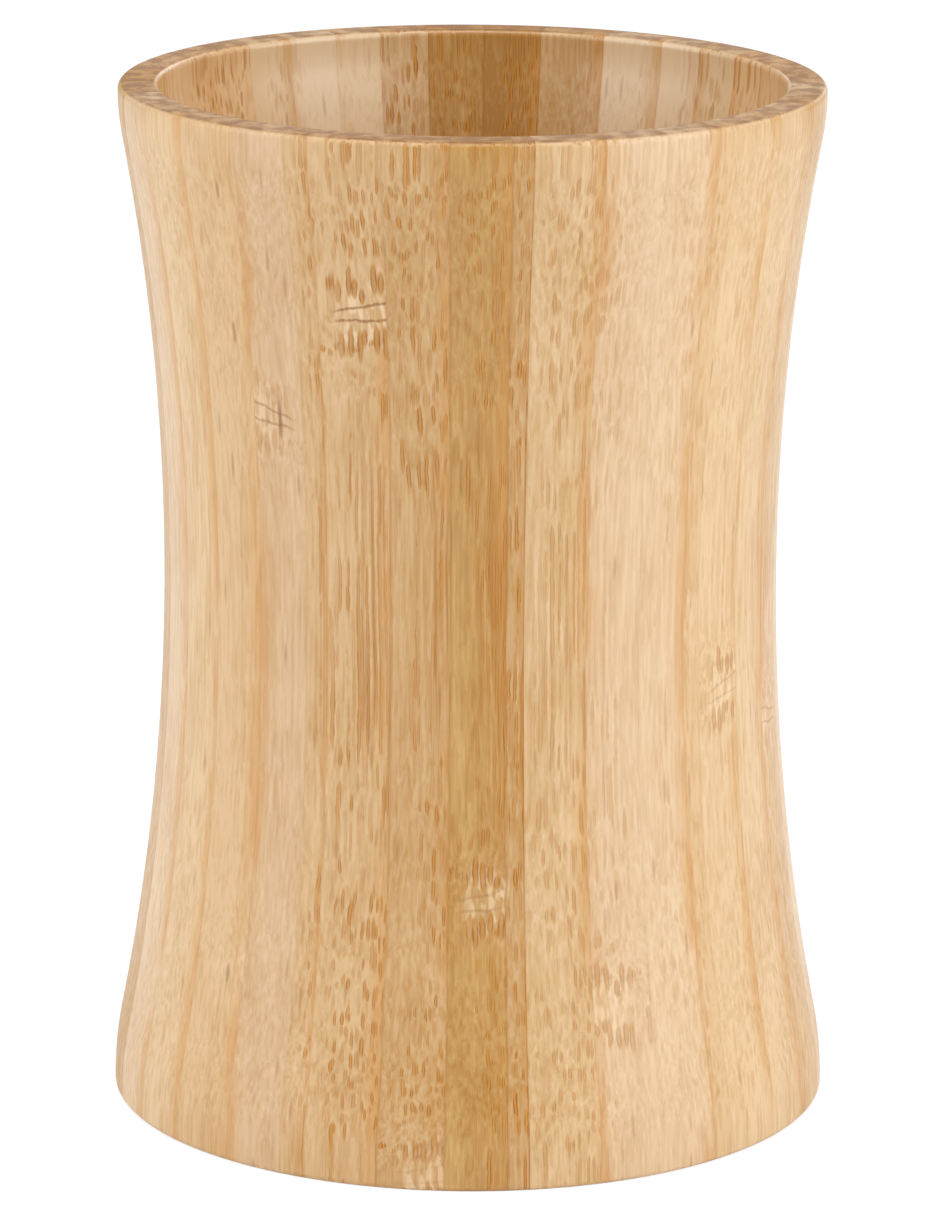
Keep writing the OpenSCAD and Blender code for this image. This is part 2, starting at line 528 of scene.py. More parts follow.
CHOICES = {"Attribute": "attribute_name", "Math": "operation", "VectorMath": "operation",
           "MapRange": "interpolation_type", "Mix": "data_type", "TexVoronoi": "voronoi_dimensions"}
EASE = "MapRange SMOOTHSTEP"
# Places of a noise's two outputs, and of a Mix node's colour sockets, whose names aren't unique
FACTOR, COLOUR = 0, 1
FIRST, SECOND, MIXED = 6, 7, 2


def add(tree, kind, inputs=(), output=0):
    """Adds a node, fills or links its inputs, and returns one output, or all of them for None."""
    name, _, choice = kind.partition(" ")
    node = tree.nodes.new("ShaderNode" + name)
    if choice:
        setattr(node, CHOICES[name], choice)
    for key, value in inputs.items() if isinstance(inputs, dict) else enumerate(inputs):
        if isinstance(value, bpy.types.NodeSocket):
            tree.links.new(value, node.inputs[key])
        else:
            node.inputs[key].default_value = value
    return node.outputs if output is None else node.outputs[output]


print("a pale straw colour in linear light:", [round(c, 3) for c in linear("#DABB90")])

# %% [markdown]
# ## Reading the notes
# The material starts by reading a piece's notes and giving each number a plain name. Everything
# later works in millimetres of the strip itself, so the grain stays with the wood in every view.

# %% Read notes
NOTES = {
    "grain": ("across", "into", "along"),
    "joint": ("from_inner", "from_skin", "knot"),
    "ply": ("seed", "tone", "knot_strength"),
    "figure": ("spread", "contrast", "glued"),
    "fleck": ("fleck_high", "fleck_low", "fleck_across"),
    "lining": ("inside", "scar", "warm"),
}


def read_notes(tree):
    """Everything that a piece's points carry, each number as a socket with a plain name."""
    wood = SimpleNamespace()
    for attribute, names in NOTES.items():
        stored = add(tree, "Attribute " + attribute, output="Vector")
        setattr(wood, attribute, stored)
        for name, socket in zip(names, add(tree, "SeparateXYZ", [stored], None)):
            setattr(wood, name, socket)
    width = add(tree, "Math ADD", [wood.from_inner, wood.from_skin])
    wood.toward_skin = add(tree, "Math DIVIDE", [wood.from_inner, width])
    return wood


print("numbers that each point carries:", sum(len(names) for names in NOTES.values()))

# %% [markdown]
# ## Soft variations
# No two places in a strip are quite alike: the bundles wander, the ground is cloudier here than
# there. Each variation is a noise that is stretched along the strip, as growth stretches the real
# one. Its waves per millimetre come from real sizes: the bundles wander over some 10 mm across and
# 25 mm along, clouds are 3 mm wide and 15 mm long, ripples at a knot are 2 mm wide and 3 mm long,
# and the pale strokes beside it are under 1 mm wide and 2 mm long.

# %% Add soft variations
# Waves per millimetre across, into and along the strip, and how much detail they have
VARIATIONS = {
    "wander": ((0.1, 0, 0.04), 2.0),
    "ripple": ((0.5, 0.5, 0.3), 2.0),
    "shiver": ((1.4, 1.4, 0.7), 1.0),
    "patch": ((0.2, 0, 0.06), 2.0),
    "cloud": ((0.3, 0.3, 0.07), 2.0),
    "strokes": ((1.5, 1.5, 0.45), 1.0),
}
NOISE_ROUGHNESS = 0.5
# The patches start at this many times the seed, and this far on
PATCH_SEED = 1.7
PATCH_START = 5.0


def add_variations(tree, wood):
    """Adds each soft variation, which starts at a place that the piece's seed gives."""
    patches = add(tree, "Math MULTIPLY_ADD", [wood.seed, PATCH_SEED, PATCH_START])
    starts = {"wander": (0, wood.seed, 0), "ripple": (0, 0, wood.seed), "patch": (0, patches, 0)}
    wood.start = add(tree, "CombineXYZ", [wood.seed])
    for name, (waves, detail) in VARIATIONS.items():
        start = add(tree, "CombineXYZ", starts[name]) if name in starts else wood.start
        place = add(tree, "VectorMath MULTIPLY_ADD", [wood.grain, waves, start])
        setting = {"Vector": place, "Scale": 1.0, "Detail": detail, "Roughness": NOISE_ROUGHNESS}
        setattr(wood, name, add(tree, "TexNoise", setting, COLOUR if name == "wander" else FACTOR))


for name, (waves, _) in VARIATIONS.items():
    print(name, "across, into and along, in mm:", [round(1 / wave, 1) if wave else "even" for wave in waves])

# %% [markdown]
# ## Bending the bundles
# At a knot the culm had its joint. The bundles bend there, so the turned surface cuts them short on
# both sides of it. The bend is a bell, highest on the scar and gone some 6 mm away from it. The scar
# runs a little downhill across the stave.

# %% Bend the bundles
SCAR_SLOPE = -0.18
NOISE_MIDDLE = 0.5
BELL_FALLOFF = -0.06
# Strengths of a faint and a clear knot, and how many millimetres each bends the bundles by
FAINT_KNOT, CLEAR_KNOT = 0.7, 1.0
FAINT_BEND, CLEAR_BEND = 2.0, 0.8
WANDER_REACH = (1.2, 1.6, 0)
RIPPLE_REACH = 0.5


def bend_bundles(tree, wood):
    """Finds the way to the knot, and where the bundles lie once wander and knot have bent them."""
    up = add(tree, "Math SUBTRACT", [wood.along, wood.knot])
    up = add(tree, "Math MULTIPLY_ADD", [wood.across, SCAR_SLOPE, up])
    up = add(tree, "Math ADD", [wood.ripple, up])
    wood.from_knot = add(tree, "Math SUBTRACT", [up, NOISE_MIDDLE])
    wood.off_knot = add(tree, "Math ABSOLUTE", [wood.from_knot])
    squared = add(tree, "Math MULTIPLY", [wood.from_knot, wood.from_knot])
    bell = add(tree, "Math EXPONENT", [add(tree, "Math MULTIPLY", [squared, BELL_FALLOFF])])
    wood.bell = add(tree, "Math MULTIPLY", [wood.knot_strength, bell])
    clear = [wood.knot_strength, FAINT_KNOT, CLEAR_KNOT, FAINT_BEND, CLEAR_BEND]
    bend = add(tree, "Math MULTIPLY", [wood.bell, add(tree, EASE, clear)])
    bend = add(tree, "Math MULTIPLY_ADD", [wood.ripple, RIPPLE_REACH, bend])
    bend = add(tree, "CombineXYZ", [0, bend, 0])
    wandered = add(tree, "VectorMath MULTIPLY_ADD", [wood.wander, WANDER_REACH, wood.grain])
    bent = add(tree, "VectorMath ADD", [wandered, bend])
    wood.bent_across, wood.bent_into, _ = add(tree, "SeparateXYZ", [bent], None)


print("half of a knot's bend is left", round(math.sqrt(math.log(0.5) / BELL_FALLOFF), 1), "mm from its scar")

# %% [markdown]
# ## Fibre bundles
# A bundle has a brown sheath of hard fibres on either side of a golden middle. In the strip's
# cross-section the bundles are cells, about 0.6 mm apart across and 0.45 mm into it, which run on
# along the strip. They stand closer and show more towards the skin side. Real ones are half as
# wide; they are drawn this coarse to show in the render.

# %% Draw the bundles
BUNDLES_PER_MM = 1.65
BUNDLES_INTO = 2.2
BUNDLE_SHUFFLE = 0.85
SHIVER_REACH = 0.5
# How many more bundles there are in each millimetre, a millimetre nearer to the skin
SKIN_CROWDING = 0.06
# How far the noted spread and the patches widen the dense side, and from where
SPREAD_REACH = 0.9
SPREAD_START = -0.7
PATCH_REACH = 1.4
DENSE_FROM, DENSE_FULL = 0.75, 1.4
# Half of a bundle's width, in cells, on the open and the dense side, and how much a knot adds
OPEN_WIDTH, DENSE_WIDTH = 0.27, 0.36
KNOT_WIDENS = 0.08
OPEN_STRENGTH = 0.15
# Each bundle's own share of that width, and of the strength
OWN_WIDTHS = (0.7, 1.15)
OWN_STRENGTHS = (0.3, 1.0)


def find_bundles(tree, wood):
    """Finds the nearest bundle, measured in its own width, and how strongly it shows."""
    crowding = add(tree, "Math MULTIPLY_ADD", [wood.bent_across, SKIN_CROWDING, BUNDLES_PER_MM])
    x = add(tree, "Math MULTIPLY_ADD", [wood.bent_across, crowding, wood.seed])
    x = add(tree, "Math MULTIPLY_ADD", [wood.shiver, SHIVER_REACH, x])
    y = add(tree, "Math MULTIPLY", [wood.bent_into, BUNDLES_INTO])
    place = add(tree, "CombineXYZ", [x, y])
    cell = add(tree, "TexVoronoi 2D", {"Vector": place, "Scale": 1.0, "Randomness": BUNDLE_SHUFFLE}, None)
    own_width, own_strength, _ = add(tree, "SeparateColor", [cell["Color"]], None)
    # The dense side of the strip, wider in some places than in others and at a knot
    dense = add(tree, "Math MULTIPLY_ADD", [wood.spread, SPREAD_REACH, SPREAD_START])
    dense = add(tree, "Math MULTIPLY_ADD", [wood.patch, PATCH_REACH, dense])
    dense = add(tree, "Math ADD", [dense, wood.bell])
    dense = add(tree, "Math ADD", [dense, wood.toward_skin])
    dense = add(tree, EASE, [dense, DENSE_FROM, DENSE_FULL])
    # The bundle's width, and the distance from it in those widths
    width = add(tree, EASE, [dense, 0, 1, OPEN_WIDTH, DENSE_WIDTH])
    width = add(tree, "Math MULTIPLY_ADD", [wood.bell, KNOT_WIDENS, width])
    own_width = add(tree, EASE, [own_width, 0, 1, *OWN_WIDTHS])
    width = add(tree, "Math MULTIPLY", [own_width, width])
    wood.bundle_off = add(tree, "Math DIVIDE", [cell["Distance"], width])
    middle = add(tree, "SeparateXYZ", [cell["Position"]])
    sideways = add(tree, "Math ABSOLUTE", [add(tree, "Math SUBTRACT", [x, middle])])
    wood.bundle_sideways = add(tree, "Math DIVIDE", [sideways, width])
    # Its strength
    strength = add(tree, "Math MAXIMUM", [wood.contrast, wood.bell])
    dense = add(tree, EASE, [dense, 0, 1, OPEN_STRENGTH, 1])
    strength = add(tree, "Math MULTIPLY", [strength, dense])
    own_strength = add(tree, EASE, [own_strength, 0, 1, *OWN_STRENGTHS])
    wood.bundle_strength = add(tree, "Math MULTIPLY", [own_strength, strength])


print("bundles:", round(1 / BUNDLES_PER_MM, 2), "mm apart across,", round(1 / BUNDLES_INTO, 2), "mm into")

# %% Colour the bundles
# Distances from the middle of a knot's scar, in millimetres, to its edge and its pale bands
SCAR_EDGE = 0.9
PALE_BAND = 5.0
# Where the scar and a band start and fully hide the bundles, and how much the scar hides
SCAR_HIDES = (2.6, 1.6)
SCAR_COVER = 0.9
BAND_HIDES = (1.3, 0.3)
SHOWN, SHOWN_AT_KNOT = 0.85, 0.4
# Edges of the sheath and of the golden middle, in widths of the bundle
SHEATH_EDGE = (1.3, 0.65)
MIDDLE_EDGE = (0.75, 0.25)
SHEATH_BROWN, MIDDLE_GOLD = "#8E500C", "#C48424"


def bundle_layer(tree, wood):
    """Where the bundles show and in what colour. The scar and the pale bands beside it hide them."""
    wood.past_scar = add(tree, "Math SUBTRACT", [wood.off_knot, SCAR_EDGE])
    in_scar = add(tree, EASE, [wood.past_scar, *SCAR_HIDES, 0, SCAR_COVER])
    off_band = add(tree, "Math ABSOLUTE", [add(tree, "Math SUBTRACT", [wood.off_knot, PALE_BAND])])
    in_band = add(tree, EASE, [off_band, *BAND_HIDES, 0, wood.knot_strength])
    hidden = add(tree, "Math ADD", [in_scar, in_band])
    hidden = add(tree, "Math MULTIPLY", [wood.knot_strength, hidden])
    shown = add(tree, "Math MULTIPLY_ADD", [wood.bell, SHOWN_AT_KNOT, SHOWN])
    shown = add(tree, "Math SUBTRACT", [shown, hidden])
    shown = add(tree, "Math MAXIMUM", [shown, 0])
    shown = add(tree, "Math MULTIPLY", [wood.bundle_strength, shown])
    wood.bundle_mask = add(tree, EASE, [wood.bundle_off, *SHEATH_EDGE, 0, shown])
    golden = add(tree, EASE, [wood.bundle_sideways, *MIDDLE_EDGE])
    colours = {FACTOR: golden, FIRST: linear(SHEATH_BROWN), SECOND: linear(MIDDLE_GOLD)}
    return wood.bundle_mask, add(tree, "Mix RGBA", colours, MIXED)


print("width of a scar:", 2 * SCAR_EDGE, "mm, pale bands", PALE_BAND, "mm above and below it")

# %% [markdown]
# ## Streaks at the waist
# At the waist the wall runs upright, along the bundles. They don't surface as dashes there: they
# join up into brown streaks, under 1 mm wide and some 40 mm long, most of all on the skin side.

# %% Draw the streaks
STREAK_WAVES = (1.5, 1.5, 0.025)
STREAK_STRENGTH = 0.75
STREAK_EDGE = (0.5, 0.66)
STREAK_SIDE = (0.25, 0.85)
WAIST_UP = WAIST_H / MM
# They are gone and full at these distances from the waist, in millimetres
WAIST_REACH = (26.0, 8.0)
STREAK_BROWN = "#A86C16"


def streak_layer(tree, wood):
    """Where the streaks show and in what colour."""
    drift = add(tree, "SeparateXYZ", [wood.wander], 1)
    place = add(tree, "CombineXYZ", [wood.bent_across, drift, wood.along])
    place = add(tree, "VectorMath MULTIPLY_ADD", [place, STREAK_WAVES, wood.start])
    setting = {"Vector": place, "Scale": 1.0, "Detail": 2.0, "Roughness": NOISE_ROUGHNESS}
    streaks = add(tree, "TexNoise", setting)
    most = add(tree, "Math MULTIPLY", [wood.contrast, wood.contrast])
    most = add(tree, "Math MULTIPLY", [most, STREAK_STRENGTH])
    most = add(tree, EASE, [wood.toward_skin, *STREAK_SIDE, 0, most])
    off_waist = add(tree, "Math ABSOLUTE", [add(tree, "Math SUBTRACT", [wood.along, WAIST_UP])])
    most = add(tree, EASE, [off_waist, *WAIST_REACH, 0, most])
    return add(tree, EASE, [streaks, *STREAK_EDGE, 0, most]), linear(STREAK_BROWN)


print("streaks reach", WAIST_REACH[0], "mm up and down from the waist at", round(WAIST_UP, 1), "mm")

# %% [markdown]
# ## Knots
# A knot shows in three ways. Each bundle surfaces beside it as one thick dash, above and below the
# scar. Pale strokes of ground tissue lie between them. And the leaf sheath, which grew there, left
# a thin dark double line. Dashes are drawn as rows of lenses, one for each column of bundles.

# %% Draw the dashes beside a knot
COLUMNS_PER_MM = 1.1
COLUMN_SHUFFLE = 0.7
COLUMN_WAVER = 0.35
# Anything larger than the row is wide, so that the rows above and below the scar differ
OTHER_ROW = 20.5
DASH_SLENDERNESS = 2.6
# Half of a dash's length and its shift away from the scar, in millimetres, as each dash draws them
HALF_LENGTHS = (0.8, 1.9)
SHIFTS = (0.0, 0.8)
DASH_EDGE = (1.15, 0.7)
DASH_SIDE = (0.1, 0.45)
# A knot of the first strength has no dashes, and one of the second has them this strong
DASHED_KNOTS = (0.3, 1.0)
DASH_STRENGTH = 0.85
RIND_EDGE = (0.1, 0.3)
DASH_GOLD, DASH_BROWN = "#BC8230", "#8A4A0A"


def dash_layer(tree, wood):
    """One dash for each column of bundles, on both sides of the scar."""
    column = add(tree, "Math MULTIPLY_ADD", [wood.across, COLUMNS_PER_MM, wood.seed])
    column = add(tree, "Math MULTIPLY_ADD", [wood.shiver, COLUMN_WAVER, column])
    row = add(tree, "Math SIGN", [wood.from_knot])
    column = add(tree, "Math MULTIPLY_ADD", [row, OTHER_ROW, column])
    cell = add(tree, "TexVoronoi 1D", {"W": column, "Scale": 1.0, "Randomness": COLUMN_SHUFFLE}, None)
    own_length, own_shift, _ = add(tree, "SeparateColor", [cell["Color"]], None)
    half_length = add(tree, EASE, [own_length, 0, 1, *HALF_LENGTHS])
    shift = add(tree, EASE, [own_shift, 0, 1, *SHIFTS])
    up = add(tree, "Math SUBTRACT", [wood.past_scar, half_length])
    up = add(tree, "Math SUBTRACT", [up, shift])
    up = add(tree, "Math DIVIDE", [up, half_length])
    sideways = add(tree, "Math MULTIPLY", [cell["Distance"], DASH_SLENDERNESS])
    off = add(tree, "VectorMath LENGTH", [add(tree, "CombineXYZ", [sideways, up])], "Value")
    most = add(tree, EASE, [wood.knot_strength, *DASHED_KNOTS, 0, DASH_STRENGTH])
    most = add(tree, EASE, [wood.toward_skin, *DASH_SIDE, 0, most])
    mask = add(tree, EASE, [off, *DASH_EDGE, 0, most])
    rind = add(tree, EASE, [cell["Distance"], *RIND_EDGE])
    colours = {FACTOR: rind, FIRST: linear(DASH_GOLD), SECOND: linear(DASH_BROWN)}
    return mask, add(tree, "Mix RGBA", colours, MIXED)


print("dashes:", [2 * half for half in HALF_LENGTHS], "mm long,", round(1 / COLUMNS_PER_MM, 2), "mm apart")

# %% Draw pale strokes and scar lines
STROKE_AMOUNT = (0.46, 0.6, 0.1, 0.65)
STROKE_SIDE = (0.15, 0.5)
# Gone and full at these distances from the scar, in millimetres
STROKE_REACH = (6.0, 1.5)
TISSUE_PALE = "#EBD2AC"
# Places across the strip, in millimetres, and half of the gap between the scar's lines there
SCAR_GAP = (-3.0, 3.5, 0.5, 0.85)
SCAR_STARTS = (-2.6, -1.0)
SCAR_LINE = (0.22, 0.06)
SCAR_GRAIN = (0.35, 0.5, 0.6, 0.95)
SCAR_BROWN = "#8C4E04"


def pale_layer(tree, wood):
    """Pale strokes of ground tissue beside the scar."""
    most = add(tree, EASE, [wood.strokes, *STROKE_AMOUNT])
    most = add(tree, "Math MULTIPLY", [wood.knot_strength, most])
    most = add(tree, EASE, [wood.toward_skin, *STROKE_SIDE, 0, most])
    return add(tree, EASE, [wood.off_knot, *STROKE_REACH, 0, most]), linear(TISSUE_PALE)


def scar_layer(tree, wood):
    """The two lines of the scar, which part a little towards the skin side."""
    gap = add(tree, EASE, [wood.across, *SCAR_GAP])
    off_line = add(tree, "Math ABSOLUTE", [add(tree, "Math SUBTRACT", [wood.off_knot, gap])])
    most = add(tree, EASE, [wood.fine, *SCAR_GRAIN])
    most = add(tree, "Math MULTIPLY", [wood.scar, most])
    most = add(tree, EASE, [wood.across, *SCAR_STARTS, 0, most])
    return add(tree, EASE, [off_line, *SCAR_LINE, 0, most]), linear(SCAR_BROWN)


print("gap between the scar's lines:", [2 * half for half in SCAR_GAP[2:]], "mm")

# %% [markdown]
# ## Ground tissue
# Between the bundles is soft, pale tissue. It has fine fibres of its own and slow clouds, and its
# inner face is painted a little paler, as painted light for the inside. Real fibres are too fine to show, so
# they are drawn 0.4 mm wide and 8 mm long. The ground's tone runs from the finish's pale colour to its dark
# one.

# %% Colour the ground
FINE_WAVES = (2.4, 4.5, 0.12)
FINE_ROUGHNESS = 0.6
FINE_CONTRAST = 1.45
CLOUD_CONTRAST = 0.8
# Painted light: the inner face's ground is painted this much paler
PAINTED_LIGHT_INSIDE = -0.25
# Takes the middle of both noises off again, so that a stave keeps its own tone
MEAN_TONE = 1.12


def ground_colour(tree, wood, pale, dark):
    """The colour of the tissue between the bundles."""
    place = add(tree, "CombineXYZ", [wood.across, wood.bent_into, wood.along])
    place = add(tree, "VectorMath MULTIPLY_ADD", [place, FINE_WAVES, wood.start])
    setting = {"Vector": place, "Scale": 1.0, "Detail": 2.0, "Roughness": FINE_ROUGHNESS}
    wood.fine = add(tree, "TexNoise", setting)
    tone = add(tree, "Math MULTIPLY_ADD", [wood.fine, FINE_CONTRAST, wood.tone])
    tone = add(tree, "Math MULTIPLY_ADD", [wood.cloud, CLOUD_CONTRAST, tone])
    # Painted light: the inner face is painted paler
    tone = add(tree, "Math MULTIPLY_ADD", [wood.inside, PAINTED_LIGHT_INSIDE, tone])
    tone = add(tree, "Math SUBTRACT", [tone, MEAN_TONE])
    return add(tree, "Mix RGBA", {FACTOR: tone, FIRST: linear(pale), SECOND: linear(dark)}, MIXED)


print("fibres:", round(1 / FINE_WAVES[0], 1), "mm wide,", round(1 / FINE_WAVES[2], 1), "mm long")

# %% [markdown]
# ## Bands, flecks and marks
# Real strips have more than grain. An orange band lies along the skin side, where the culm was
# denser. Thin sap flecks are strewn over the wood, some 2 mm apart and 12 mm along. A few dark
# marks that the photograph shows are placed one by one, and a fine brown line is left by the glue.

# %% Draw bands and flecks
# Shares of the way to the skin side where the band starts and is full
SKIN_BAND = (0.68, 0.97)
SKIN_PATCHES = (0.4, 0.6, 0.1, 0.6)
SKIN_ORANGE = "#C8904A"
# Cells per millimetre across and along. Those that draw enough hold a fleck
FLECKS_ACROSS = 0.55
FLECKS_ALONG = 0.08
FLECK_DRAW = (0.6, 0.9)
FLECK_STRENGTH = 0.4
FLECK_EDGE = (0.15, 0.04)
SAP_BROWN = "#9A6532"


def skin_layer(tree, wood):
    """The orange band along the skin side, stronger in some places than in others."""
    most = add(tree, EASE, [wood.patch, *SKIN_PATCHES])
    return add(tree, EASE, [wood.toward_skin, *SKIN_BAND, 0, most]), linear(SKIN_ORANGE)


def fleck_layer(tree, wood):
    """Thin sap flecks: less than half of the cells hold one."""
    x = add(tree, "Math MULTIPLY_ADD", [wood.across, FLECKS_ACROSS, wood.seed])
    y = add(tree, "Math MULTIPLY_ADD", [wood.along, FLECKS_ALONG, wood.seed])
    place = add(tree, "CombineXYZ", [x, y])
    cell = add(tree, "TexVoronoi 2D", {"Vector": place, "Scale": 1.0, "Randomness": 1.0}, None)
    drawn = add(tree, "SeparateColor", [cell["Color"]])
    most = add(tree, EASE, [drawn, *FLECK_DRAW, 0, FLECK_STRENGTH])
    return add(tree, EASE, [cell["Distance"], *FLECK_EDGE, 0, most]), linear(SAP_BROWN)


print("flecks:", round(1 / FLECKS_ACROSS, 1), "mm apart across,", round(1 / FLECKS_ALONG, 1), "mm along")

# %% Draw marks and glue lines
# A mark is a lens with a ragged edge, its reach given per millimetre
MARKS_ACROSS = 3.2
MARKS_ALONG = 0.75
MARK_EDGE = (1.1, 0.5)
RAGGED = (2.0, -1.0)
MARK_STRENGTH = 0.5
# A first fleck below these heights stands for no marks at all
MARKED = (-10.0, -5.0)
MARK_BROWN = "#865008"
# Distances from a joint, in millimetres, where its glue line ends and where it is full
GLUE_LINE = (0.26, 0.04)
GLUE_BREAKS = (0.35, 0.6, 0.35, 1.0)
GLUE_BROWN = "#9C5E12"


def mark_layers(tree, wood):
    """The dark marks: two noted flecks and one on the knot, where a piece has them at all."""
    most = add(tree, EASE, [wood.fleck_high, *MARKED, 0, MARK_STRENGTH])
    x = add(tree, "Math SUBTRACT", [wood.across, wood.fleck_across])
    x = add(tree, "Math MULTIPLY", [x, MARKS_ACROSS])
    ragged = add(tree, "Math MULTIPLY_ADD", [wood.shiver, *RAGGED])
    layers = []
    for mark_height in (wood.fleck_high, wood.fleck_low, wood.knot):
        y = add(tree, "Math SUBTRACT", [wood.along, mark_height])
        y = add(tree, "Math MULTIPLY", [y, MARKS_ALONG])
        off = add(tree, "VectorMath LENGTH", [add(tree, "CombineXYZ", [x, y, ragged])], "Value")
        mask = add(tree, EASE, [off, *MARK_EDGE, 0, most])
        layers.append((mask, linear(MARK_BROWN)))
    return layers


def glue_layer(tree, wood):
    """The line that the glue leaves along both joints, broken up by the ripple."""
    nearest = add(tree, "Math MINIMUM", [wood.from_inner, wood.from_skin])
    most = add(tree, EASE, [wood.ripple, *GLUE_BREAKS])
    most = add(tree, "Math MULTIPLY", [wood.glued, most])
    return add(tree, EASE, [nearest, *GLUE_LINE, 0, most]), linear(GLUE_BROWN)


mark_size = sum(MARK_EDGE)
print("marks:", round(mark_size / MARKS_ACROSS, 1), "mm wide,", round(mark_size / MARKS_ALONG, 1), "mm long")

# %% [markdown]
# ## Rim and lacquer
# The turned end grain on the rim drinks more lacquer, so it is darker and duller, and it shows each
# bundle as a dot. Everywhere else the wood was sanded and given a clear satin lacquer, 0.36 to 0.46
# rough and a little sunk over the bundles. A thin clear coat over it gives the upright sheens. It is
# fuller inside, where nothing rubs it.

# %% Darken the end grain
CUP_TOP = height / MM
# Heights in millimetres where the end grain starts and is full
END_GRAIN = (CUP_TOP - 0.25, CUP_TOP - 0.03)
END_PATCHES = (0.3, 0.65, 0.4, 0.85)
END_BROWN = "#805630"


def end_layer(tree, wood):
    """The darker end grain on top of the rim."""
    wood.end_grain = add(tree, EASE, [wood.along, *END_GRAIN])
    dark = add(tree, EASE, [wood.ripple, *END_PATCHES])
    return add(tree, "Math MULTIPLY", [wood.end_grain, dark]), linear(END_BROWN)


print("end grain from and to:", [round(place, 2) for place in END_GRAIN], "mm up")

# %% Lay the lacquer
# The lacquer's index of refraction is that of most clear finishes
IOR = 1.5
SPECULAR_LEVEL = 0.35
RELIEF = 0.08 * MM
RELIEF_STRENGTH = 0.3
FIBRE_RELIEF, BUNDLE_RELIEF = 0.4, -0.8
ROUGHNESS = (0.3, 0.7, 0.36, 0.46)
END_GRAIN_ROUGHER = 0.3
COAT_ROUGHNESS = 0.24
COAT_OUTSIDE, COAT_INSIDE = 0.25, 1.0


def lacquer(tree, wood, colour):
    """Satin lacquer over a colour: its roughness, its relief and its clear coat."""
    relief = add(tree, "Math MULTIPLY", [wood.fine, FIBRE_RELIEF])
    relief = add(tree, "Math MULTIPLY_ADD", [wood.bundle_mask, BUNDLE_RELIEF, relief])
    bump = add(tree, "Bump", {"Height": relief, "Strength": RELIEF_STRENGTH, "Distance": RELIEF})
    rough = add(tree, EASE, [wood.fine, *ROUGHNESS])
    rough = add(tree, "Math MULTIPLY_ADD", [wood.end_grain, END_GRAIN_ROUGHER, rough])
    coat = add(tree, EASE, [wood.inside, 0, 1, COAT_OUTSIDE, COAT_INSIDE])
    coat = add(tree, EASE, [wood.end_grain, 1, 0, 0, coat])
    return add(tree, "BsdfPrincipled", {
        "Base Color": colour, "Roughness": rough, "Normal": bump, "IOR": IOR,
        "Specular IOR Level": SPECULAR_LEVEL, "Coat Weight": coat, "Coat Roughness": COAT_ROUGHNESS})


print("roughness from and to:", ROUGHNESS[2:], "and", END_GRAIN_ROUGHER, "more on the rim")

# %% [markdown]
# ## Lacquered bamboo
# Laminated bamboo is pale, soft ground tissue with darker fibre bundles. It was glued, turned and
# sanded, so the eye sees the cut grain sharply, and under the satin lacquer its sheens stay broad and
# soft. The layers are laid one over the other, as a painter would: ground, flecks and streaks, bands,
# painted warm bounce light inside, bundles, knots, glue, marks and the end grain last. The tones
# differ as culms do, from pale cream to steamed honey.

# %% Make the bamboo
# Painted warm bounce light: the tint laid on the inner walls where they would light each other
PAINTED_BOUNCE_TINT = "#E8A050"


def bamboo(name, pale, dark):
    """Satin-lacquered bamboo whose ground runs from pale to dark with the piece's own tone."""
    material = bpy.data.materials.new(name)
    material.use_nodes = True
    tree = material.node_tree
    tree.nodes.clear()
    wood = read_notes(tree)
    add_variations(tree, wood)
    bend_bundles(tree, wood)
    find_bundles(tree, wood)
    colour = ground_colour(tree, wood, pale, dark)
    layers = [
        fleck_layer(tree, wood), streak_layer(tree, wood), skin_layer(tree, wood),
        # Painted warm bounce light on the inner walls
        (wood.warm, linear(PAINTED_BOUNCE_TINT)), bundle_layer(tree, wood), pale_layer(tree, wood),
        dash_layer(tree, wood), scar_layer(tree, wood), glue_layer(tree, wood),
        *mark_layers(tree, wood), end_layer(tree, wood),
    ]
    for mask, tint in layers:
        colour = add(tree, "Mix RGBA", {FACTOR: mask, FIRST: colour, SECOND: tint}, MIXED)
    add(tree, "OutputMaterial", {"Surface": lacquer(tree, wood, colour)}, None)
    return material


finishes = {
    "bamboo_straw": bamboo("lacquered_bamboo_straw", "#DABB90", "#BC9054"),
    "bamboo_honey": bamboo("lacquered_bamboo_honey", "#D0AA6C", "#AC7B3A"),
    "bamboo_cream": bamboo("lacquered_bamboo_cream", "#DDC09A", "#C39B6E"),
    "bamboo_wheat": bamboo("lacquered_bamboo_wheat", "#D5B386", "#B68746"),
    "bamboo_floor": bamboo("lacquered_bamboo_floor", "#DBB582", "#BC8C50"),
}
for piece, node in zip(staves + strips, stave_nodes + strip_nodes):
    piece.data.materials.clear()
    piece.data.materials.append(finishes[slots[node]])
print("finishes:", sorted(finishes), "with", len(finishes["bamboo_straw"].node_tree.nodes), "nodes each")

# %% [markdown]
# ## Studio floor
# The cup stands on white paper. The camera sees the paper mostly by a light of its own, so that it
# stays as pale as the backdrop and keeps a faint shadow. Every other ray meets plain matt paper,
# so the paper puts no more light on the cup than real paper would.

# %% Lay the paper
FLOOR_SIZE = 1.8
PAPER_COLOUR = "#F4F4F4"
BACKDROP_COLOUR = "#FCFDFF"
PAPER_GLOW = 1.15
GLOW_SHARE = 0.7

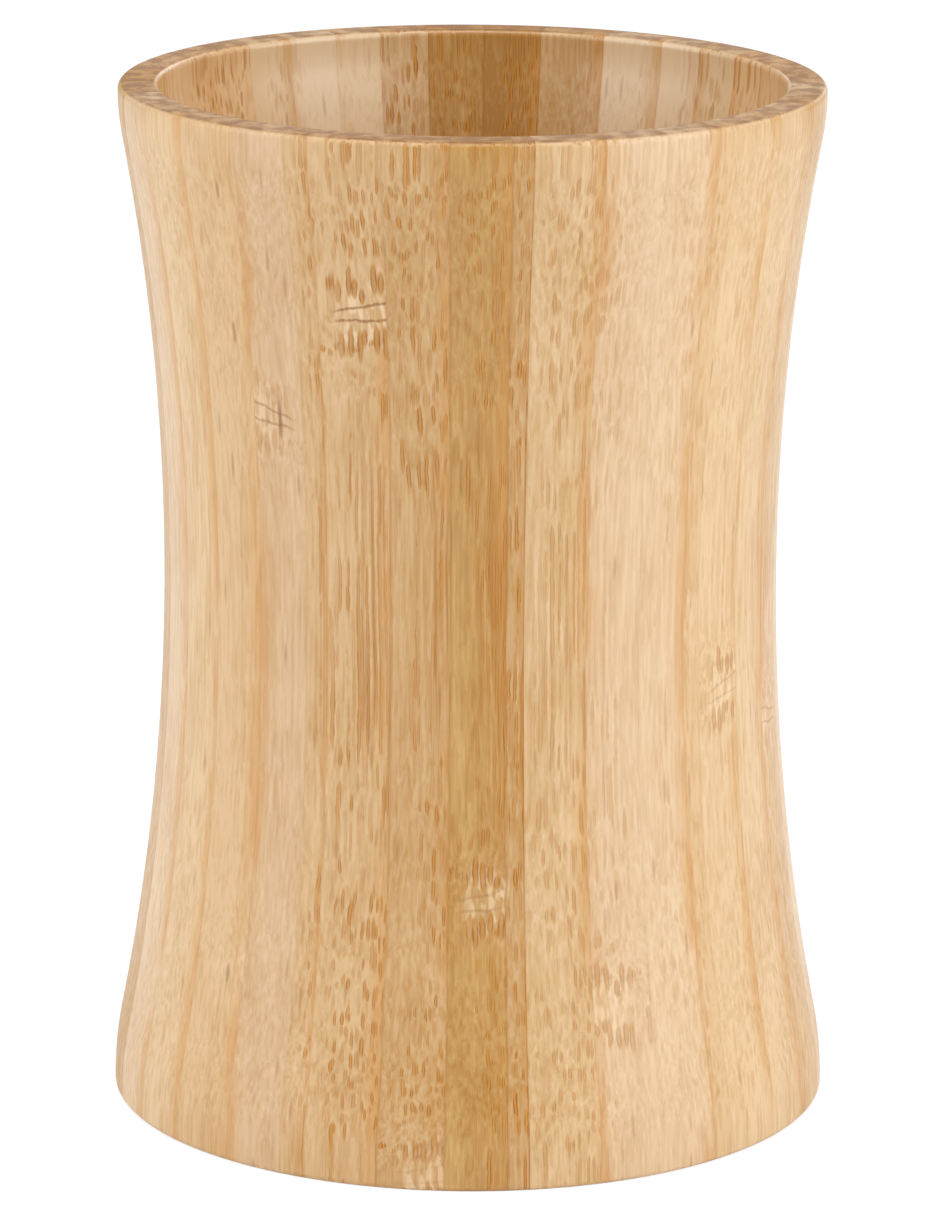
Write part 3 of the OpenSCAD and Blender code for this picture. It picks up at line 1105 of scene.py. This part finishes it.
deselect_all()
bpy.ops.mesh.primitive_plane_add(size=FLOOR_SIZE, location=(0, 0, 0))
floor = bpy.context.object
floor.name = "studio_floor"
paper = bpy.data.materials.new("white_studio_paper")
paper.use_nodes = True
tree = paper.node_tree
tree.nodes.clear()
path = add(tree, "LightPath", output=None)
looking = add(tree, "Math MAXIMUM", [path["Is Camera Ray"], path["Is Transmission Ray"]])
matt = add(tree, "BsdfDiffuse", {"Color": linear(PAPER_COLOUR)})
glow = add(tree, "Emission", {"Color": linear(BACKDROP_COLOUR), "Strength": PAPER_GLOW})
shown = add(tree, "MixShader", [GLOW_SHARE, matt, glow])
add(tree, "OutputMaterial", {"Surface": add(tree, "MixShader", [looking, matt, shown])}, None)
floor.data.materials.append(paper)
print("paper:", FLOOR_SIZE, "m wide")

# %% [markdown]
# ## Studio air
# A pale room lights the cup softly from everywhere, a little brighter from behind. The camera sees
# only the even backdrop.

# %% Fill the air
AIR_FRONT, AIR_BACK = 0.15, 0.4
# Where the air starts to brighten and is brightest, from -1 at the front to 1 behind
AIR_SWEEP = (-0.4, 0.7)
world = bpy.data.worlds.new("studio_air")
bpy.context.scene.world = world
world.use_nodes = True
tree = world.node_tree
tree.nodes.clear()
path = add(tree, "LightPath", output=None)
toward = add(tree, "SeparateXYZ", [add(tree, "TexCoord", output="Generated")], None)
bright = add(tree, EASE, [toward["Y"], *AIR_SWEEP, AIR_FRONT, AIR_BACK])
air = add(tree, "Background", {"Color": linear("#FFFFFF"), "Strength": bright})
backdrop = add(tree, "Background", {"Color": linear(BACKDROP_COLOUR), "Strength": 1.0})
both = add(tree, "MixShader", [path["Is Camera Ray"], air, backdrop])
add(tree, "OutputWorld", {"Surface": both}, None)
print("air:", AIR_FRONT, "in front to", AIR_BACK, "behind")

# %% [markdown]
# ## Lamps
# The cup was shot in a bright studio with a broad softbox on either side. They give the two upright
# sheens on the wall, and again two inside it. A softbox above fills the rim and the mouth, and a
# weak one behind keeps the back of the wall from falling dark.

# %% Set the softboxes
# Metres and watts. Every softbox faces the middle of the cup
CUP_MIDDLE = Vector((0, 0, 0.055))


def softbox(name, spot, width, tall, watts):
    """Adds a softbox at a spot, facing the cup."""
    data = bpy.data.lights.new(name, "AREA")
    data.shape = "RECTANGLE"
    data.size = width
    data.size_y = tall
    data.energy = watts
    light = bpy.data.objects.new(name, data)
    bpy.context.scene.collection.objects.link(light)
    facing = (CUP_MIDDLE - Vector(spot)).to_track_quat("-Z", "Y")
    light.matrix_world = Matrix.Translation(spot) @ facing.to_matrix().to_4x4()


softbox("softbox_left", (-0.6, -0.2, 0.36), 0.7, 0.7, 3.25)
softbox("softbox_right", (0.56, -0.3, 0.34), 0.7, 0.6, 3.55)
softbox("softbox_above", (0.0, -0.25, 1.0), 0.9, 0.6, 5.5)
softbox("softbox_behind", (0.1, 0.8, 0.5), 0.8, 0.6, 2.2)

# %% [markdown]
# ## Render settings
# The colours are shown as written, with the plain Standard view.

# %% Finish
bpy.context.scene.view_settings.view_transform = "Standard"
